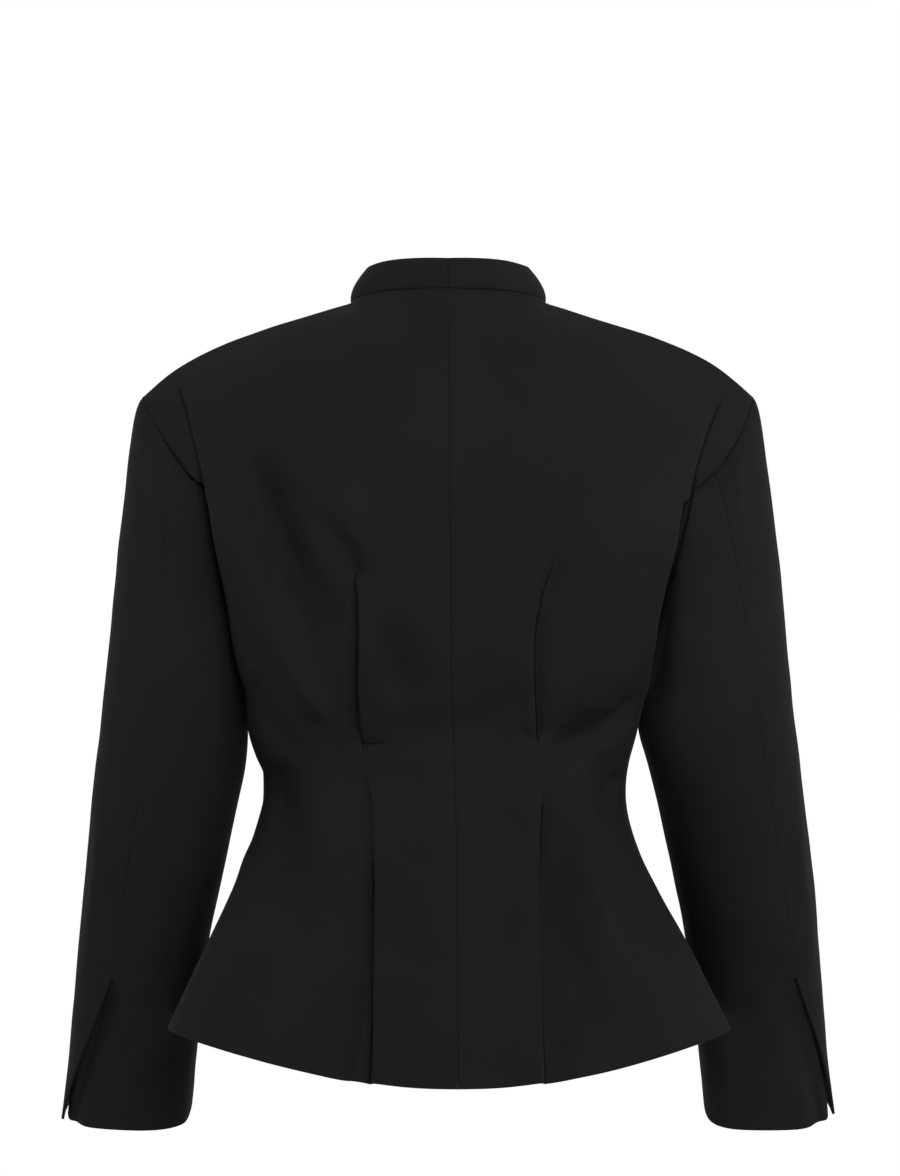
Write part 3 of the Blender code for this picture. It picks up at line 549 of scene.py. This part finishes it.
# sleeves: folds are placed by the turn round the arm (degrees, 0 outward, 90 behind) and height
sleeveValues = {
    "degree": 0.0010, "heartTop": -0.16,  # metres for one degree, and where the arm's line starts
    "centre": [  # up, across, fore
        (-0.620, 0.2455, 0.074), (-0.540, 0.2375, 0.052), (-0.420, 0.2200, 0.017), (-0.300, 0.2034, -0.004),
        (-0.100, 0.1950, -0.012)],
}
sleeveFolds = [
    {"name": "head ridge", "path": [(60.0, -0.100), (66.0, -0.150), (72.0, -0.200)],
     "width": (0.008, 0.010), "lift": 0.0026, "fade": (0.4, 0.5)},
    {"name": "upper hollow", "path": [(110.0, -0.200), (118.0, -0.270), (112.0, -0.340)],
     "width": (0.012, 0.012), "lift": -0.0028, "fade": (0.3, 0.4)},
    {"name": "inner elbow", "path": [(-60.0, -0.330), (-95.0, -0.360), (-130.0, -0.345)],
     "width": (0.008, 0.008), "lift": -0.0034, "fade": (0.3, 0.3)},
    {"name": "inner elbow below", "path": [(-55.0, -0.375), (-95.0, -0.395), (-135.0, -0.385)],
     "width": (0.008, 0.008), "lift": -0.0030, "fade": (0.3, 0.3)},
    {"name": "outer ridge", "path": [(30.0, -0.350), (40.0, -0.420), (36.0, -0.500)],
     "width": (0.010, 0.010), "lift": 0.0018, "fade": (0.4, 0.4)},
    {"name": "underlap hollow", "only": "sleeve_under", "path": [
        (66.0, -0.503), (58.0, -0.540), (48.0, -0.575), (40.0, -0.610), (36.0, -0.640)],
     "width": (0.013, 0.006), "lift": -0.0042, "fade": (0.25, 0.05)},
    {"name": "hip hollow", "path": [(120.0, -0.515), (110.0, -0.560), (100.0, -0.590)],
     "width": (0.022, 0.022), "lift": -0.0060, "fade": (0.3, 0.5)},
    {"name": "vent tack", "path": [(40.0, -0.4965), (62.0, -0.4985)],
     "width": (0.0020, 0.0020), "lift": -0.0014, "fade": (0.3, 0.1)},
]
sleeveCreaseShade = {  # painted shadow on the under sleeve along the body's edge, across and up
    "left": [],
    "right": [(1.5, [(0.1805, -0.1440), (0.1793, -0.1486), (0.1763, -0.1634), (0.1726, -0.1782),
                     (0.1689, -0.1930), (0.1652, -0.2078)])],
}


def sleeveHeart(hand, v=sleeveValues):
    heights, across, fore = (np.array(column) for column in zip(*v["centre"]))

    def heart(places):
        z = np.minimum(places[:, 2], v["heartTop"])
        return np.stack([hand * np.interp(z, heights, across), np.interp(z, heights, fore), z], axis=1)

    return heart


def sleeveFlat(co, hand, v=sleeveValues):
    away = co - sleeveHeart(hand)(co)
    turn = np.degrees(np.arctan2(-away[:, 1], hand * away[:, 0]))
    return np.stack([turn * v["degree"], co[:, 2]], axis=1)


def finishCloth(piece, node):
    piece.data.materials.clear()
    piece.data.materials.append(suiting)
    piece.data.polygons.foreach_set("use_smooth", [True] * len(piece.data.polygons))
    piece.data.set_sharp_from_angle(angle=math.radians(clothValues["sharpAngle"]))
    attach(piece, "root")
    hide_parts(node)


cutSizes = {  # flat width, length and area of each cut piece
    "back": (0.275, 0.615, 0.146), "front": (0.255, 0.600, 0.118), "collar": (0.200, 0.034, 0.0057),
    "sleeve_top": (0.185, 0.600, 0.092), "sleeve_under": (0.195, 0.520, 0.080),
}

bodyFolds = {"back": backFolds, "front": frontFolds}
creaseShadeLines = {"back": backCreaseShade, "sleeve_under": sleeveCreaseShade}
hands = {"left": -1.0, "right": 1.0}
panels = {}
for hand, sign in hands.items():
    hearts = {
        "back": bodyHeart, "front": bodyHeart, "collar": collarHeart,
        "sleeve_top": sleeveHeart(sign), "sleeve_under": sleeveHeart(sign),
    }
    for part, heart in hearts.items():
        panels[part + "_" + hand] = finePanel(part + "_" + hand, heart)
sewnEdges(panels, clothValues["sewnReach"])
print("stage: panels rounded and sewn edges found")

for hand, sign in hands.items():
    for part, (width, length, area) in cutSizes.items():
        node = part + "_" + hand
        co = panels[node]["points"]
        flat = co[:, [0, 2]]  # across and up
        # distance to the crease lines that get painted shade
        creaseShade = creaseShadeDistance(flat, creaseShadeLines.get(part, {}).get(hand, []))
        if part in bodyFolds:
            folds = foldHeights(flat, bodyFolds[part][hand] + bodyFolds[part]["both"])
        elif part == "collar":
            folds = np.zeros(len(co))
        else:
            scale = sleeveValues["degree"]
            laid = [f for f in sleeveFolds if f.get("only", part) == part]
            table = [dict(f, path=[(turn * scale, z) for turn, z in f["path"]]) for f in laid]
            folds = foldHeights(sleeveFlat(co, sign), table)
        layFolds(node, panels[node], folds, creaseShade)
        finishCloth(panels[node]["piece"], node)
    print("stage: cloth,", hand)


# plain pale floor where a wearer would stand, far below the hem
floorValues = {
    "height": -1.30, "radius": 4.2, "sides": 96, "colour": (0.86, 0.86, 0.86, 1.0), "roughness": 0.9,
}


def layFloor(v):
    bm = bmesh.new()
    bmesh.ops.create_circle(bm, cap_ends=True, segments=v["sides"], radius=v["radius"])
    bmesh.ops.translate(bm, verts=bm.verts[:], vec=(0.0, 0.0, v["height"]))
    mesh = bpy.data.meshes.new("floor")
    bm.to_mesh(mesh)
    bm.free()
    floor = bpy.data.objects.new("floor", mesh)
    mat = bpy.data.materials.new("paleFloor")
    mat.use_nodes = True
    shader = mat.node_tree.nodes["Principled BSDF"]
    shader.inputs["Base Color"].default_value = v["colour"]
    shader.inputs["Roughness"].default_value = v["roughness"]
    mesh.materials.append(mat)
    bpy.context.scene.collection.objects.link(floor)


layFloor(floorValues)

# soft studio light: a white wall all round at eye height, dim above, and large soft boxes
lightValues = [
    {"name": "frontBox", "place": (0.5, -2.4, 1.2), "aim": (0.0, 0.0, -0.25), "size": 1.2, "power": 43.5},
    {"name": "rightBox", "place": (1.8, -1.9, 1.1), "aim": (0.0, 0.0, -0.25), "size": 1.1, "power": 16.0},
    {"name": "topBox", "place": (-0.3, 0.6, 1.8), "aim": (0.0, 0.0, -0.1), "size": 1.4, "power": 9.0},
    {"name": "leftRim", "place": (-2.2, 0.0, 0.20), "aim": (0.0, 0.0, -0.35), "size": 1.2, "power": 13.0},
    {"name": "rightRim", "place": (2.1, 0.55, 0.25), "aim": (0.0, 0.0, -0.35), "size": 1.2, "power": 8.0},
]
roomValues = {
    "wall": 1.0, "ceiling": 0.05, "wallFrom": -0.34, "wallTo": 0.20, "soft": 0.10,
    "nearWall": 0.66, "nearFrom": -0.75, "nearTo": -0.15,  # the wall behind the camera is greyer
}


def lightStudio(lights, room):
    for v in lights:
        data = bpy.data.lights.new(v["name"], "AREA")
        data.size = v["size"]
        data.energy = v["power"]
        lamp = bpy.data.objects.new(v["name"], data)
        lamp.location = v["place"]
        lamp.rotation_euler = (Vector(v["aim"]) - Vector(v["place"])).to_track_quat("-Z", "Y").to_euler()
        bpy.context.scene.collection.objects.link(lamp)
    world = bpy.data.worlds.new("whiteRoom")
    world.use_nodes = True
    tree = world.node_tree
    coords = tree.nodes.new("ShaderNodeTexCoord")
    split = tree.nodes.new("ShaderNodeSeparateXYZ")
    link(tree, coords, "Generated", split, 0)
    steps = []
    foot = (room["wallFrom"] - room["soft"], room["wallFrom"])
    head = (room["wallTo"] + room["soft"], room["wallTo"])
    for start, end in (foot, head):
        step = tree.nodes.new("ShaderNodeMapRange")
        step.interpolation_type = "SMOOTHSTEP"
        step.inputs["From Min"].default_value = start
        step.inputs["From Max"].default_value = end
        link(tree, split, "Z", step, "Value")
        steps.append(step)
    both = tree.nodes.new("ShaderNodeMath")
    both.operation = "MULTIPLY"
    link(tree, steps[0], "Result", both, 0)
    link(tree, steps[1], "Result", both, 1)
    wall = tree.nodes.new("ShaderNodeMapRange")
    wall.interpolation_type = "SMOOTHSTEP"
    wall.inputs["From Min"].default_value = room["nearFrom"]
    wall.inputs["From Max"].default_value = room["nearTo"]
    wall.inputs["To Min"].default_value = room["nearWall"]
    wall.inputs["To Max"].default_value = room["wall"]
    link(tree, split, "Y", wall, "Value")
    glow = tree.nodes.new("ShaderNodeMapRange")
    glow.inputs["To Min"].default_value = room["ceiling"]
    link(tree, wall, "Result", glow, "To Max")
    link(tree, both, 0, glow, "Value")
    tree.nodes["Background"].inputs["Color"].default_value = (1.0, 1.0, 1.0, 1.0)
    link(tree, glow, "Result", tree.nodes["Background"], "Strength")
    bpy.context.scene.world = world
    bpy.context.scene.view_settings.view_transform = "Standard"


lightStudio(lightValues, roomValues)
print("stage: floor and light")
